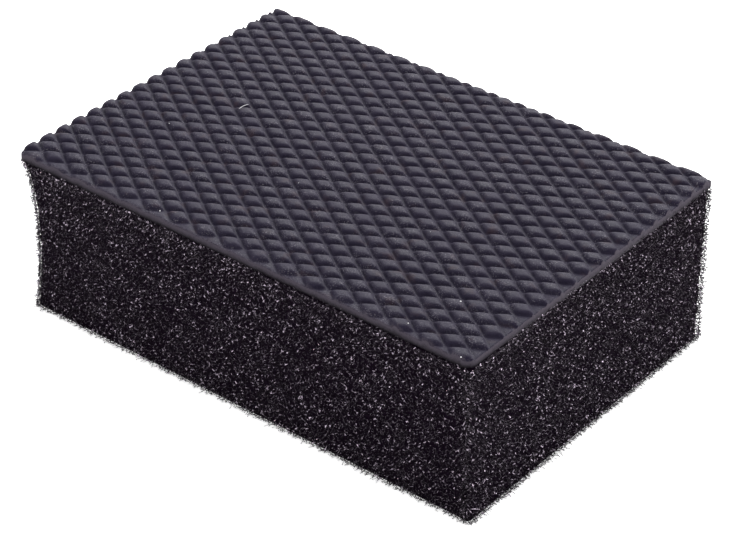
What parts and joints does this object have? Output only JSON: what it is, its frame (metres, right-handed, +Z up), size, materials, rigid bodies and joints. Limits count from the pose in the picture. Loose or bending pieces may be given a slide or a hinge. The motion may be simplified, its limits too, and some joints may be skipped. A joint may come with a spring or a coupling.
{
  "type": "clay sponge",
  "caption": "Rectangular block of black open-cell foam with a thin rubbery clay pad on top, embossed with a lattice of diamond pillows, held by hand to smooth a surface.",
  "frame": {"origin": "centre of the foam's foot, on the surface that it stands on", "axes": "+X along the long sides, +Y away from the long side whose +X end has the worn pad corner, +Z up through the clay pad"},
  "size_m": [0.092, 0.064, 0.0309],
  "materials": {
    "foam": "open-cell foam, matt, black, with small glints on its struts",
    "clay_pad": "embossed slate-black rubbery polymer, satin"
  },
  "bodies": {
    "root": {"foam_block": "foam", "clay_pad": "clay_pad"}
  },
  "joints": []
}
